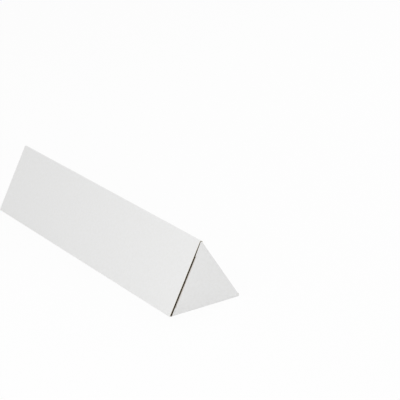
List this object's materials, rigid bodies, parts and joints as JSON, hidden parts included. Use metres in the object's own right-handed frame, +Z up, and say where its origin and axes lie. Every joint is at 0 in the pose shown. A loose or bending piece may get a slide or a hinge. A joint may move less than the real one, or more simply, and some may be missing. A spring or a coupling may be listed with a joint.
{
  "type": "triangular mailing tube",
  "caption": "Triangular mailing tube folded from one sheet of white-faced corrugated board, closed at both ends by a hinged triangular flap with a tuck-in tab.",
  "frame": {"origin": "middle of the bottom wall's underside, below the ridge, halfway along the tube", "axes": "+Y along the tube towards its back end, +Z up to the ridge, +X towards the wall that the end flaps hinge on"},
  "size_m": [0.0655, 0.316, 0.0566],
  "materials": {
    "white_corrugated_board": "matte"
  },
  "bodies": {
    "tube": {"tube_wrap": "white_corrugated_board"},
    "front_flap": {"end_flap_front": "white_corrugated_board"},
    "back_flap": {"end_flap_back": "white_corrugated_board"}
  },
  "joints": [
    {"name": "front_flap_swing", "type": "hinge", "parent": "tube", "child": "front_flap", "pos_m": [0.0335, -0.1577, 0], "axis": [-0.5, 0, 0.866], "range_deg": [0, 135]},
    {"name": "back_flap_swing", "type": "hinge", "parent": "tube", "child": "back_flap", "pos_m": [0.0335, 0.1577, 0], "axis": [0.5, 0, -0.866], "range_deg": [0, 135]}
  ]
}
